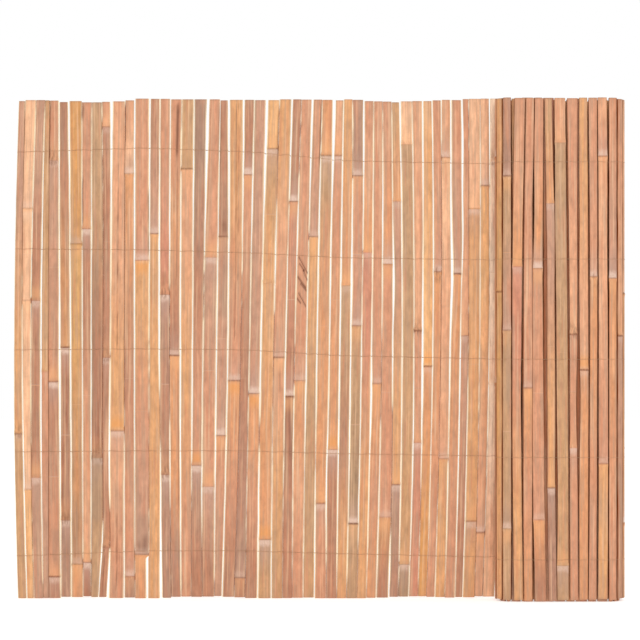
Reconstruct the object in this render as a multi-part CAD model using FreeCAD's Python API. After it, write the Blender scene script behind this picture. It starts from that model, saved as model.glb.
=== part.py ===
import FreeCAD, Part
import math
import os

# A fence mat of split bamboo slats on five rows of wire. It stands on the slats' feet, partly unrolled:
# a flat mat on the left, and the rest wound into a flattened roll in front of its right end.
# Built with x along the mat from its left end, y = 0 in the flat mat's mid-plane and -y towards the
# roll, z up from the feet. At the end everything moves so that the origin is under the middle.

# Slats
HEIGHT = 1010.0
SLAT_THICKNESS = 5.5
EDGE_DROP = 1.2  # the skin side falls this much from the crown to the long edges
FLANK_SHARE = 0.3  # share of a slat's least width that slopes, at each long edge
NODE_RIDGE = 1.0  # a culm node stands proud of the skin by this much
NODE_SCAR = 2.5  # steep side of a node
NODE_SLOPE = 7.0  # gentle side of a node, on the slat's upper side as it grew
NODE_END_ROOM = 12.0  # no node nearer to a slat's end than this

# Binding wires
WIRE_DIAMETER = 1.1
WIRE_SIDES = 6  # the round wire is built with this many flat sides
WIRE_SEAT = 0.15  # clearance between a wire and the slats
WIRE_ROW_COUNT = 5
WIRE_FOOT_MARGIN = 93.0
WIRE_HEAD_MARGIN = 113.0
WIRE_NODE_ROOM = 2.5  # a node keeps this clear of a wire
WIRE_TAIL = 6.0  # the wires end this far past the last slat

# Roll
ROLL_DEPTH = 66.0  # from the middle of its back layer to the middle of its front layer
ROLL_LAP = 7.5  # the roll's left end stands this far inside the left edge of the last flat slat
LAYER_GAP = 2.0
BEND_COUNT = 4  # right, left, right, left
ROLL_SLAT_WIDTH = 18.0
ROLL_SLAT_GAP = 2.6
BEND_CLEARANCE = 0.8

# Each flat slat from the left: its widths at head, middle and foot, the gaps to the next slat at head,
# middle and foot, the heights of its culm nodes, and UP or DOWN as it grew.
UP = 1
DOWN = -1
FIRST_EDGE = (9.5, 0.0, 7.5)  # left edge of the first slat at head, middle and foot
FLAT_SLATS = (
    ((12.5, 16.0, 16.5), (0.5, 0.5, 3.0), (334,), UP),
    ((21.5, 16.0, 12.0), (0.5, 1.0, 1.0), (219, 601, 787), DOWN),
    ((18.0, 18.5, 18.5), (0.5, 3.0, 0.5), (245, 603), UP),
    ((8.5, 14.0, 11.0), (0.5, 0.5, 0.5), (459,), UP),
    ((17.5, 20.5, 23.5), (2.0, 4.5, 1.0), (45, 439, 886), UP),
    ((16.0, 18.0, 19.5), (5.0, 2.0, 1.5), (159, 507), UP),
    ((23.5, 21.5, 22.5), (0.5, 2.5, 1.0), (68, 711), DOWN),
    ((20.0, 16.0, 15.5), (0.5, 1.5, 0.5), (74, 748), UP),
    ((19.5, 23.0, 13.0), (0.5, 0.5, 1.0), (285,), UP),
    ((15.0, 12.5, 12.5), (9.0, 3.0, 11.0), (104, 488, 954), UP),
    ((23.0, 27.0, 27.0), (0.5, 0.5, 3.5), (340,), UP),
    ((17.0, 19.0, 20.0), (4.0, 2.5, 1.0), (43, 857), DOWN),
    ((26.0, 28.5, 28.0), (5.0, 0.5, 0.5), (88, 682), DOWN),
    ((17.5, 17.5, 19.0), (1.5, 3.5, 9.0), (736,), DOWN),
    ((19.0, 19.0, 16.0), (2.5, 0.5, 0.5), (251, 615), UP),
    ((21.5, 20.0, 19.0), (0.5, 4.0, 1.0), (490,), DOWN),
    ((23.5, 22.5, 19.5), (2.0, 1.0, 0.5), (867,), DOWN),
    ((24.5, 20.0, 22.0), (6.0, 1.0, 0.5), (270,), UP),
    ((21.0, 25.5, 24.0), (1.0, 2.0, 0.5), (227, 692), UP),
    ((13.5, 20.5, 13.5), (6.5, 2.0, 3.5), (328, 730), DOWN),
    ((24.0, 25.5, 22.5), (5.5, 0.5, 0.5), (439,), DOWN),
    ((18.5, 17.0, 21.5), (1.0, 0.5, 0.5), (41, 855), DOWN),
    ((21.0, 21.0, 23.5), (8.0, 3.5, 3.5), (413,), DOWN),
    ((21.0, 24.5, 24.0), (0.5, 0.5, 3.0), (120, 639, 910), UP),
    ((23.0, 23.0, 21.0), (4.5, 1.0, 0.5), (486,), DOWN),
    ((16.5, 17.5, 19.5), (0.5, 0.5, 0.5), (407, 801), DOWN),
    ((19.0, 22.5, 21.0), (6.0, 2.5, 1.0), (439,), DOWN),
    ((16.5, 19.0, 21.0), (0.5, 2.5, 3.0), (730,), DOWN),
    ((16.5, 23.0, 21.5), (10.0, 2.0, 0.5), (193, 896), UP),
    ((16.0, 18.5, 21.0), (1.0, 2.5, 0.5), (302, 896), UP),
    ((17.0, 19.0, 19.0), (0.5, 3.5, 0.5), (633,), UP),
    ((21.0, 19.0, 21.0), (3.0, 2.0, 0.5), (150, 550, 853), DOWN),
    ((18.0, 18.0, 18.5), (0.5, 2.0, 0.5), (700,), UP),
    ((18.0, 19.0, 19.0), (0.5, 1.0, 1.5), (433,), DOWN),
    ((17.5, 20.5, 22.5), (0.5, 2.5, 4.0), (163, 674), DOWN),
    ((14.0, 17.5, 17.0), (5.0, 1.5, 0.5), (231, 803), UP),
    ((21.5, 22.5, 20.0), (0.5, 1.5, 1.5), (70, 918), UP),
    ((19.5, 14.5, 18.0), (3.5, 4.0, 0.5), (316, 542), UP),
    ((16.0, 17.5, 16.5), (2.5, 1.0, 0.5), (470,), UP),
    ((16.5, 15.5, 16.0), (2.0, 0.5, 1.5), (659,), DOWN),
    ((16.5, 17.5, 19.0), (3.5, 2.5, 0.5), (281, 888), DOWN),
    ((18.5, 18.0, 20.0), (3.0, 2.5, 1.0), (655,), DOWN),
    ((12.0, 14.0, 14.0), (0.5, 1.5, 1.5), (532,), UP),
    ((23.5, 22.5, 23.5), (0.5, 0.5, 0.5), (157, 789), UP),
    ((16.5, 18.0, 15.5), (4.0, 1.0, 0.5), (132, 833), DOWN),
    ((18.0, 18.0, 24.0), (3.0, 3.0, 1.0), (435, 884), UP),
)
SPLINTERED_SLAT = 13  # this slat has lost a splinter below its lowest node
SPLINTER_WIDTH = 8.0

# Slats across the roll's front, from its left end, in the same way
FRONT_EDGE = (6.5, 1.5, 5.5)
FRONT_SLATS = (
    ((21.0, 18.5, 17.5), (2.0, 3.5, 2.5), (670,), UP),
    ((16.0, 18.0, 17.0), (1.5, 1.0, 4.0), (426,), DOWN),
    ((17.0, 22.0, 23.0), (2.0, 6.0, 5.0), (163, 664), DOWN),
    ((14.0, 16.0, 16.0), (6.0, 4.0, 1.0), (229, 796), UP),
    ((21.0, 22.0, 23.0), (4.0, 4.0, 3.0), (74, 917), UP),
    ((21.0, 14.0, 16.0), (3.0, 6.0, 2.0), (309, 535), UP),
    ((16.0, 17.0, 17.0), (3.0, 3.0, 1.5), (464,), UP),
    ((17.0, 14.0, 15.5), (1.0, 3.0, 3.5), (648,), DOWN),
    ((17.0, 17.0, 16.5), (3.0, 3.5, 3.0), (275, 885), DOWN),
)
# Nodes of the slats round the outer bends, in the order in which the mat is wound
RIGHT_BEND_NODES = ((185, 695), (425,), (305, 765), (155, 615), (532,), (645,))
LEFT_BEND_NODES = ((145, 541, 849), (620,), (435, 881), (265, 705), (565,))
# How far each of them stands up at its foot and stays down at its head, and the same inside the roll
RIGHT_BEND_ENDS = ((2.0, 4.0), (3.5, 5.0), (5.0, 6.0), (6.0, 6.5), (6.0, 6.0), (4.0, 4.0))
LEFT_BEND_ENDS = ((4.0, 3.5), (5.0, 4.5), (4.0, 4.0), (3.0, 4.0), (2.0, 4.0))
INNER_ENDS = ((0.0, 5.0), (0.0, 3.0), (0.0, 4.0), (0.0, 6.5))

# Wire heights wander along the flat mat: offsets of each row, from the foot, at these distances
WANDER_STATIONS = (20.0, 270.0, 470.0, 670.0, 955.0)
WANDER = (
    (-7.0, 3.0, 3.0, -3.0, -9.0),
    (2.0, 4.0, 4.0, -2.0, -6.0),
    (7.0, 9.0, 7.0, -5.0, -11.0),
    (10.0, 8.0, 2.0, -8.0, -12.0),
    (5.0, 13.0, 5.0, -13.0, -19.0),
)
# Heads and feet run in a slow wave: how far each flat slat's foot stands up and its head stays down, from
# the left, and then those of the slats across the roll's front
FOOT_LIFTS = (
    0.0, 0.0, 0.0, 0.5, 0.5, 3.0, 2.5, 4.0, 2.5, 2.5, 0.5, 1.5, 0.0, 0.0, 1.0, 3.0, 3.5, 3.0, 3.5, 4.5,
    3.0, 2.0, 0.5, 0.0, 0.0, 0.5, 1.0, 1.5, 0.0, 0.0, 0.0, 0.0, 0.0, 1.0, 1.5, 3.0, 3.5, 4.0, 4.0, 3.0,
    2.5, 1.5, 2.5, 2.0, 4.0, 3.5,
    4.0, 2.5, 1.0, 2.0, 3.5, 3.5, 4.5, 4.5, 6.0,
)
HEAD_DROPS = (
    5.0, 3.0, 3.0, 3.5, 4.0, 7.0, 5.0, 7.5, 7.5, 6.5, 5.5, 3.5, 0.0, 0.5, 0.5, 1.5, 1.5, 1.5, 1.5, 3.5,
    2.5, 2.5, 3.0, 3.0, 1.5, 1.5, 2.0, 2.0, 2.5, 3.5, 1.5, 2.5, 5.0, 5.5, 6.0, 7.5, 5.5, 5.0, 5.0, 3.5,
    2.5, 3.0, 1.0, 0.5, 0.0, 0.0,
    4.5, 4.5, 5.0, 5.5, 4.5, 5.0, 4.0, 4.0, 3.5,
)
# Inner slats differ in width: their edges shift by this much, in turn
EDGE_SHIFTS = (1.5, -1.0, 2.0, -1.5, 0.5)

LAYER_PITCH = SLAT_THICKNESS + 2 * WIRE_DIAMETER + LAYER_GAP
WIRE_OFFSET = SLAT_THICKNESS / 2 + WIRE_SEAT + WIRE_DIAMETER / 2
WIRE_REACH = SLAT_THICKNESS / 2 + WIRE_SEAT + WIRE_DIAMETER


def interpolate(stations, values, at):
    """Value at a place on the straight lines between stations, constant beyond them."""
    if at <= stations[0]:
        return values[0]
    for k in range(len(stations) - 1):
        if at <= stations[k + 1]:
            share = (at - stations[k]) / (stations[k + 1] - stations[k])
            return values[k] + share * (values[k + 1] - values[k])
    return values[-1]


def wire_heights(x):
    """Height of every wire row at a distance along the mat."""
    pitch = (HEIGHT - WIRE_FOOT_MARGIN - WIRE_HEAD_MARGIN) / (WIRE_ROW_COUNT - 1)
    heights = []
    for row in range(WIRE_ROW_COUNT):
        wander = interpolate(WANDER_STATIONS, WANDER[row % len(WANDER)], x)
        heights.append(WIRE_FOOT_MARGIN + row * pitch + wander)
    return heights


def prism(rings):
    """Solid through a row of rings with the same number of corners, with flat faces between them."""
    faces = [Part.Face(Part.makePolygon(ring + [ring[0]])) for ring in (rings[0], rings[-1])]
    for low, high in zip(rings, rings[1:]):
        for k in range(len(low)):
            after = (k + 1) % len(low)
            corners = [low[k], low[after], high[after], high[k], low[k]]
            faces.append(Part.Face(Part.makePolygon(corners)))
    solid = Part.Solid(Part.Shell(faces))
    if solid.Volume < 0:
        solid.reverse()
    return solid


class Place:
    """Where a slat stands: a point of its mid-plane, the direction across it, and its skin side."""

    def __init__(self, x, y, across, outward):
        self.x = x
        self.y = y
        self.across = across
        self.outward = outward

    def point(self, along, out, z):
        x = self.x + along * self.across[0] + out * self.outward[0]
        y = self.y + along * self.across[1] + out * self.outward[1]
        return FreeCAD.Vector(x, y, z)


def upright(edge):
    """An upright slat's edge: the same at head, middle and foot."""
    return edge, edge, edge


def ridge_span(node, growth):
    """Lower and upper end of a node's ridge: steep below and gentle above, as the culm grew."""
    if growth == UP:
        return node - NODE_SCAR, node + NODE_SLOPE
    return node - NODE_SLOPE, node + NODE_SCAR


def settle_nodes(nodes, growth, wires):
    """Node heights slid off the wires, without those too near to the slat's ends."""
    settled = []
    room = WIRE_DIAMETER / 2 + WIRE_NODE_ROOM
    for node in nodes:
        low, high = ridge_span(node, growth)
        for wire in wires:
            if low < wire + room and high > wire - room:
                up = wire + room - low
                down = high - wire + room
                node = node + up if up < down else node - down
        if NODE_END_ROOM < node < HEIGHT - NODE_END_ROOM:
            settled.append(node)
    return settled


def slat(place, lefts, rights, nodes, growth, foot, head, splinter=0.0):
    """Slat with a flat back and a crowned skin side; its edges are given at head, middle and foot."""
    levels = (0.0, HEIGHT / 2, HEIGHT)
    heights = {foot, HEIGHT / 2, head}
    for node in nodes:
        low, high = ridge_span(node, growth)
        heights.update((low, node, high))
    if not nodes and lefts[0] == lefts[1] == lefts[2]:
        heights = {foot, head}
    flank = FLANK_SHARE * (min(right - left for left, right in zip(lefts, rights)) - splinter)
    rings = []
    for z in sorted(heights):
        left = interpolate(levels, lefts[::-1], z)
        right = interpolate(levels, rights[::-1], z)
        if splinter and z < min(nodes):
            right -= splinter
        ridge = 0.0
        for node in nodes:
            low, high = ridge_span(node, growth)
            ridge += interpolate((low, node, high), (0.0, NODE_RIDGE, 0.0), z)
        back = -SLAT_THICKNESS / 2
        crown = SLAT_THICKNESS / 2 + ridge
        edge = crown - EDGE_DROP
        outline = ((left, back), (right, back), (right, edge), (right - flank, crown),
                   (left + flank, crown), (left, edge))
        rings.append([place.point(along, out, z) for along, out in outline])
    return prism(rings)


def row_of_slats(place, first_edge, rows, number=0):
    """Slats side by side from a list of widths, gaps and nodes, and the edges past the last gap."""
    lefts = list(first_edge)
    solids = []
    for widths, gaps, nodes, growth in rows:
        rights = [left + width for left, width in zip(lefts, widths)]
        middle = place.x + (lefts[1] + rights[1]) / 2
        nodes = settle_nodes(nodes, growth, wire_heights(middle))
        foot = FOOT_LIFTS[number % len(FOOT_LIFTS)]
        head = HEIGHT - HEAD_DROPS[number % len(HEAD_DROPS)]
        number += 1
        splinter = SPLINTER_WIDTH if number == SPLINTERED_SLAT and nodes else 0.0
        solids.append(slat(place, lefts, rights, nodes, growth, foot, head, splinter))
        lefts = [right + gap for right, gap in zip(rights, gaps)]
    return solids, lefts


def plain_row(place, starts, ends):
    """Plain slats that fill a straight run, from and to edges given at head, middle and foot."""
    count = int((ends[1] - starts[1]) / (ROLL_SLAT_WIDTH + ROLL_SLAT_GAP))
    bounds = []
    for k in range(count + 1):
        shift = EDGE_SHIFTS[k % len(EDGE_SHIFTS)] if 0 < k < count else 0.0
        bounds.append([start + (end - start) * k / count + shift for start, end in zip(starts, ends)])
    solids = []
    for k in range(count):
        lefts = [bound + ROLL_SLAT_GAP / 2 for bound in bounds[k]]
        rights = [bound - ROLL_SLAT_GAP / 2 for bound in bounds[k + 1]]
        head = HEIGHT - HEAD_DROPS[k % len(HEAD_DROPS)]
        solids.append(slat(place, lefts, rights, (), UP, 0.0, head))
    return solids


def bend_radius(bend):
    return (ROLL_DEPTH - bend * LAYER_PITCH) / 2


def bend_angles(bend):
    """Directions of the slats round a bend, in winding order, as many as keep clear of the turn outside."""
    radius = bend_radius(bend)
    count = math.ceil(math.pi * radius / (ROLL_SLAT_WIDTH + ROLL_SLAT_GAP))
    if bend > 1:
        room = bend_radius(bend - 2) - WIRE_REACH - BEND_CLEARANCE
        half_turn = math.acos((radius + WIRE_REACH) / room)
        count = max(count, math.ceil(math.pi / (2 * half_turn)))
    start = math.pi / 2 if bend % 2 == 0 else -math.pi / 2
    return [start - (k + 0.5) * math.pi / count for k in range(count)]


def bend_centre(bend, left_x, right_x):
    if bend % 2 == 0:
        return right_x, -ROLL_DEPTH / 2
    return left_x, -(ROLL_DEPTH + LAYER_PITCH) / 2


def bend_slats(bend, centre, node_lists, ends):
    """Slats round a bend, each flat across the bend's radius, just clear of each other inside."""
    radius = bend_radius(bend)
    angles = bend_angles(bend)
    half_step = math.pi / (2 * len(angles))
    half_width = (radius - SLAT_THICKNESS / 2) * math.tan(half_step) - BEND_CLEARANCE
    solids = []
    for k, angle in enumerate(angles):
        outward = (math.cos(angle), math.sin(angle))
        across = (-outward[1], outward[0])
        place = Place(centre[0] + radius * outward[0], centre[1] + radius * outward[1], across, outward)
        nodes = node_lists[k % len(node_lists)] if node_lists else ()
        lift, drop = ends[k % len(ends)]
        growth = DOWN if (bend + k) % 2 else UP
        nodes = settle_nodes(nodes, growth, wire_heights(WANDER_STATIONS[-1]))
        edges = upright(-half_width), upright(half_width)
        solids.append(slat(place, *edges, nodes, growth, lift, HEIGHT - drop))
    return solids


def mat_lines(left_x, right_x):
    """Mid-lines of the mat in winding order, each a point and a direction: runs, and slats round bends."""
    lines = [(0.0, 0.0, 1.0, 0.0)]
    for bend in range(BEND_COUNT):
        radius = bend_radius(bend)
        centre = bend_centre(bend, left_x, right_x)
        for angle in bend_angles(bend):
            x = centre[0] + radius * math.cos(angle)
            y = centre[1] + radius * math.sin(angle)
            lines.append((x, y, math.sin(angle), -math.cos(angle)))
        if bend % 2 == 0:
            lines.append((right_x, centre[1] - radius, -1.0, 0.0))
        else:
            lines.append((left_x, centre[1] + radius, 1.0, 0.0))
    return lines


def strand(lines, offset):
    """Corners of a wire that follows the mat's lines at an offset to their right-hand side."""
    shifted = [(x + offset * dy, y - offset * dx, dx, dy) for x, y, dx, dy in lines]
    corners = []
    for (x1, y1, dx1, dy1), (x2, y2, dx2, dy2) in zip(shifted, shifted[1:]):
        reach = ((x2 - x1) * dy2 - (y2 - y1) * dx2) / (dx1 * dy2 - dy1 * dx2)
        corners.append((x1 + reach * dx1, y1 + reach * dy1))
    return corners


def wire(path):
    """Wire along a path of points that turns in plan, mitred at its corners."""
    half_step = math.pi / WIRE_SIDES
    radius = WIRE_DIAMETER / 2 / math.cos(half_step)
    outline = []
    for k in range(WIRE_SIDES):
        turn = (2 * k + 1) * half_step
        outline.append((radius * math.cos(turn), radius * math.sin(turn)))
    sides = []
    for start, end in zip(path, path[1:]):
        length = math.hypot(end[0] - start[0], end[1] - start[1])
        sides.append(((end[1] - start[1]) / length, (start[0] - end[0]) / length))
    rings = []
    for k, (x, y, z) in enumerate(path):
        before = sides[max(k - 1, 0)]
        after = sides[min(k, len(sides) - 1)]
        spread = 1 + before[0] * after[0] + before[1] * after[1]
        mitre_x = (before[0] + after[0]) / spread
        mitre_y = (before[1] + after[1]) / spread
        rings.append([FreeCAD.Vector(x + a * mitre_x, y + a * mitre_y, z + b) for a, b in outline])
    return prism(rings)


def wire_row(row, lines, end_x):
    """One wire: round the first slat's left edge, and in front of and behind every slat to the end."""
    level = (HEIGHT, HEIGHT / 2, 0.0)
    first_z = wire_heights(0.0)[row]
    first_x = interpolate(level[::-1], FIRST_EDGE[::-1], first_z) - WIRE_SEAT - WIRE_DIAMETER / 2
    flat = [(x, wire_heights(x)[row]) for x in WANDER_STATIONS]
    roll_z = wire_heights(WANDER_STATIONS[-1])[row]
    paths = []
    for offset in (WIRE_OFFSET, -WIRE_OFFSET):
        path = [(first_x, -offset, first_z)]
        path += [(x, -offset, z) for x, z in flat]
        path += [(x, y, roll_z) for x, y in strand(lines, offset)]
        path.append((end_x, lines[-1][1] - offset * lines[-1][2], roll_z))
        paths.append(path)
    return wire(paths[0][::-1] + paths[1])


def build():
    """Every node's shape by name, in the mat's own frame."""
    flat_place = Place(0.0, 0.0, (1.0, 0.0), (0.0, -1.0))
    flat, past_flat = row_of_slats(flat_place, FIRST_EDGE, FLAT_SLATS)
    last_left = past_flat[1] - FLAT_SLATS[-1][0][1] - FLAT_SLATS[-1][1][1]
    left_x = last_left + ROLL_LAP + bend_radius(1) + WIRE_REACH
    front_place = Place(left_x, -ROLL_DEPTH, (1.0, 0.0), (0.0, -1.0))
    front, past_front = row_of_slats(front_place, FRONT_EDGE, FRONT_SLATS, len(FLAT_SLATS))
    run = max(past_front)
    right_x = left_x + run

    shapes = {}
    for number, solid in enumerate(flat, 1):
        shapes["slat_%02d" % number] = solid
    shapes["roll_back_slats"] = Part.Compound(plain_row(flat_place, past_flat, upright(right_x)))

    outer = bend_slats(0, bend_centre(0, left_x, right_x), RIGHT_BEND_NODES, RIGHT_BEND_ENDS)
    outer += front
    outer += bend_slats(1, bend_centre(1, left_x, right_x), LEFT_BEND_NODES, LEFT_BEND_ENDS)
    shapes["roll_outer_slats"] = Part.Compound(outer)

    inner = []
    for bend in range(1, BEND_COUNT):
        centre = bend_centre(bend, left_x, right_x)
        if bend > 1:
            inner += bend_slats(bend, centre, (), INNER_ENDS)
        side = 1.0 if bend % 2 else -1.0
        place = Place(left_x, centre[1] + side * bend_radius(bend), (1.0, 0.0), (0.0, side))
        inner += plain_row(place, upright(0.0), upright(run))
    shapes["roll_inner_slats"] = Part.Compound(inner)
    print("bend centres", round(left_x, 2), round(right_x, 2))

    lines = mat_lines(left_x, right_x)
    end_x = right_x + WIRE_TAIL if lines[-1][2] > 0 else left_x - WIRE_TAIL
    for row in range(WIRE_ROW_COUNT):
        shapes["wire_row_%d" % (row + 1)] = wire_row(row, lines, end_x)
    return shapes


os.makedirs("parts", exist_ok=True)
nodes = build()
box = Part.Compound(list(nodes.values())).BoundBox
to_origin = FreeCAD.Vector(-(box.XMin + box.XMax) / 2, -(box.YMin + box.YMax) / 2, -box.ZMin)
for name, shape in nodes.items():
    shape.translate(to_origin)
    shape.exportStep("parts/%s.step" % name)
print("nodes", len(nodes), "size", round(box.XLength, 2), round(box.YLength, 2), round(box.ZLength, 2))
print("moved by", [round(value, 2) for value in to_origin])
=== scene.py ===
# %% [markdown]
# # A fence mat of split bamboo, partly unrolled
# The mat stands on the feet of its slats. On the left it is flat, on the right the rest of it is still
# wound into a flattened roll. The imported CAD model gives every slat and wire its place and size, and this
# lesson dresses them: each slat gets a rounded section, swollen nodes and its own colours, and each wire
# row becomes two thin strands that weave between the slats. Everything is in metres in the CAD's frame.

# %% Load the frame
import math

import bpy
import numpy as np
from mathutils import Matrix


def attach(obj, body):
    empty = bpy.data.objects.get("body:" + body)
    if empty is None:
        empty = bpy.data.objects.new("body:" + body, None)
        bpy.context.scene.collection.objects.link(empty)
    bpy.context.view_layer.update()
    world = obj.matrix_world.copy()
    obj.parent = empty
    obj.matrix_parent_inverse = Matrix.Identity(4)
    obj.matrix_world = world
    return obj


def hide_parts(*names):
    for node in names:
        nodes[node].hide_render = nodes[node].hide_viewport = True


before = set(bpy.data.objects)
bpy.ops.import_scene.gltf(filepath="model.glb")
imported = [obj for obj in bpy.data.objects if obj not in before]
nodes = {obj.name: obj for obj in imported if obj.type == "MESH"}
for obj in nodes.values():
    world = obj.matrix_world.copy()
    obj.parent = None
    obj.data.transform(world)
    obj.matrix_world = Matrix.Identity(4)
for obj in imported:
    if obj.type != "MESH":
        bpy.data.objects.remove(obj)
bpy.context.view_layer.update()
MM = 0.001

# %% [markdown]
# ## Camera
# The photograph looks straight at the mat from some metres away, a little above its middle, so lines
# hardly converge. A long lens on a level camera gives that, and one pixel is about 2 mm on the mat.

# %% Camera
scene = bpy.context.scene


def add_object(name, data):
    """New object in the scene, at the origin."""
    thing = bpy.data.objects.new(name, data)
    scene.collection.objects.link(thing)
    return thing


camera_data = bpy.data.cameras.new("camera")
camera_data.sensor_width = 36.0
camera_data.lens = 139.2
camera = add_object("camera", camera_data)
camera.location = (0.0025, -4.970, 0.5625)
camera.rotation_euler = (math.pi / 2, 0.0, 0.0)
scene.camera = camera
print("camera at", tuple(camera.location), "lens", camera_data.lens)

# %% [markdown]
# ## Reading the slats from the CAD
# A CAD slat is a prism through six-cornered rings: two corners at the back, two at the long edges and two
# on the crown. Its rings give the edges at every height, and rings whose crown stands proud are culm
# nodes. The gentle side of a node points the way the culm grew. A roll's node holds many slats, so its
# triangles are first sorted into solids: the smallest point number spreads over each triangle
# until nothing changes.

# %% Read the slats
THICKNESS = 5.5 * MM
PROUD = 0.9 * MM  # a crown that stands out by more is a node
SAME_PLACE = 0.01 * MM  # points closer than this lie in one ring or plane
WELD_DIGITS, RING_DIGITS = 6, 5


def weld(obj):
    """Points of a CAD node without doubles, and its triangles by those points."""
    mesh = obj.data
    points = np.empty(len(mesh.vertices) * 3)
    mesh.vertices.foreach_get("co", points)
    corners = np.empty(len(mesh.loops), int)
    mesh.loops.foreach_get("vertex_index", corners)
    unique, index = np.unique(np.round(points.reshape(-1, 3), WELD_DIGITS), axis=0, return_inverse=True)
    return unique, index.ravel()[corners].reshape(-1, 3)


def separate(points, triangles):
    """Points of each solid of a node."""
    label = np.arange(len(points))
    while True:
        spread = label.copy()
        np.minimum.at(spread, triangles.ravel(), np.repeat(label[triangles].min(axis=1), 3))
        if (spread == label).all():
            return [points[label == number] for number in np.unique(label)]
        label = spread


def read_slat(points):
    """Directions, ring heights, edges and nodes of one slat.

    The long axis of the foot ring is the direction across, and the narrower of its two sides is the skin.
    """
    foot = points[points[:, 2] < points[:, 2].min() + SAME_PLACE][:, :2]
    foot = foot - foot.mean(axis=0)
    axes = np.linalg.svd(foot)[2]
    outward = axes[1]
    along, out = axes @ foot.T
    if np.ptp(along[out > out.max() - SAME_PLACE]) > np.ptp(along[out < out.min() + SAME_PLACE]):
        outward = -outward
    across = np.array((-outward[1], outward[0]))
    along, out = points[:, :2] @ across, points[:, :2] @ outward
    heights = np.unique(np.round(points[:, 2], RING_DIGITS))
    ring = np.abs(points[:, 2:] - heights) < SAME_PLACE
    left = np.where(ring, along[:, None], np.inf).min(axis=0)
    right = np.where(ring, along[:, None], -np.inf).max(axis=0)
    crown = np.where(ring, out[:, None], -np.inf).max(axis=0)
    crests = np.flatnonzero(crown > crown.min() + PROUD)
    growth = 1.0
    if len(crests):
        below, above = np.diff(heights[crests[0] - 1:crests[0] + 2])
        growth = 1.0 if below < above else -1.0
    return {"across": across, "outward": outward, "middle": out.min() + THICKNESS / 2, "z": heights,
            "left": left, "right": right, "nodes": heights[crests], "growth": growth}


flat_names = sorted(name for name in nodes if name.startswith("slat_"))
flat_slats = [read_slat(weld(nodes[name])[0]) for name in flat_names]
roll_slats = {name: [read_slat(points) for points in separate(*weld(nodes[name]))]
              for name in ("roll_back_slats", "roll_outer_slats", "roll_inner_slats")}
print("flat slats", len(flat_slats), {name: len(group) for name, group in roll_slats.items()})

# %% [markdown]
# ## The roll's slats in winding order
# The outer turn goes from the flat mat round the right bend, along the front from right to left, and round
# the left bend. A slat's skin faces outwards, so its direction tells where it stands: front slats face
# the camera, and the others are sorted by the angle they face.

# %% Sort the outer turn
STRAIGHT = 0.999  # skins that face the front or the back by more are in a straight run
TURNED = 0.02     # skins that face a side by more are in a bend


def by_x(slat):
    """How far to the right a slat stands."""
    along = (slat["left"].mean() + slat["right"].mean()) / 2
    return along * slat["across"][0] + slat["middle"] * slat["outward"][0]


def straight_of(slats, way):
    """Slats that face the back (1) or the front (-1), from left to right."""
    return sorted((slat for slat in slats if way * slat["outward"][1] > STRAIGHT), key=by_x)


def bend_of(slats, way):
    """Slats of the right (1) or left (-1) bend in winding order, by the angle that they face."""
    bend = [slat for slat in slats if way * slat["outward"][0] > TURNED]
    return sorted(bend, key=lambda slat: math.atan2(*(way * slat["outward"][::-1])), reverse=True)


outer = roll_slats["roll_outer_slats"]
front = straight_of(outer, -1)
right_bend, left_bend = bend_of(outer, 1), bend_of(outer, -1)
print("right bend", len(right_bend), "front", len(front), "left bend", len(left_bend))

# %% [markdown]
# ## Colours of the slats
# Split bamboo dries to many tones, and each stretch between two nodes has its own. A table of letters names
# the tones of every slat from head to foot: a bar is a node, and the letters between bars spread evenly over
# that stretch and blend into each other.

# %% Tones
TONE_COLOURS = {
    "s": (210, 144, 107),  # salmon
    "h": (222, 159, 102),  # honey
    "l": (246, 188, 144),  # light peach
    "y": (212, 157, 92),   # straw
    "k": (188, 144, 103),  # khaki
    "g": (196, 143, 114),  # grey pink
    "b": (180, 120, 88),   # brown
    "m": (174, 127, 102),  # mauve grey
    "o": (220, 149, 98),   # orange
    "r": (206, 133, 102),  # red salmon
    "t": (200, 149, 101),  # tan
    "p": (226, 161, 119),  # peach
    "a": (212, 147, 76),   # amber
    "c": (198, 136, 86),   # caramel
    "e": (168, 106, 74),   # chestnut
    "f": (240, 178, 116),  # light honey
    "v": (164, 128, 92),   # olive
    "d": (146, 92, 66),    # dark brown
    "n": (255, 222, 190),  # pale, painted light against the roll's shade on slat 46
    "w": (176, 92, 34),    # warm dark brown, painted shade for slats inside the roll
}
# Slats 45 and 46 get paler tones than their wood: painted light against the roll's shade
FLAT_TONES = """
    gh|t l|l|l|f gb|b|g t|sg s|gs|bs|b bc|ee|m a|yc|o s|bp|e ke|k sp|bb|bb|b pph|ps pl|obs|m ss|hsg|o
    bg|h sr|mb|mm sob|oom t|phs mbs|mb ss|gs|gb b|g|sg hs|osb b|sbm|b gg|osb f|th|ho|kt hps|pht b|rb|dbb
    s|ops sg|hkt o|koooo|ss p|so|b ho|kbh m|sg|kv|k spo|rh ss|oso so|s|cb to|gh|m l|kt|v pp|s|r hf|oa
    s|os pp|lpp|h sg|os sp|gb ll|hh|h ll|fp|p nn|n|nl
""".split()
FRONT_TONES = "spo|rh ss|oso so|s|ob to|gh|m p|kt|k sp|s|s hp|oo s|os ps|pps|h".split()
ROUNDING = 1e-9  # of heights, in metres


def linear(colour):
    """Linear light of an 8-bit display colour."""
    value = np.asarray(colour, float) / 255.0
    return np.where(value <= 0.04045, value / 12.92, ((value + 0.055) / 1.055) ** 2.4)


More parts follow.
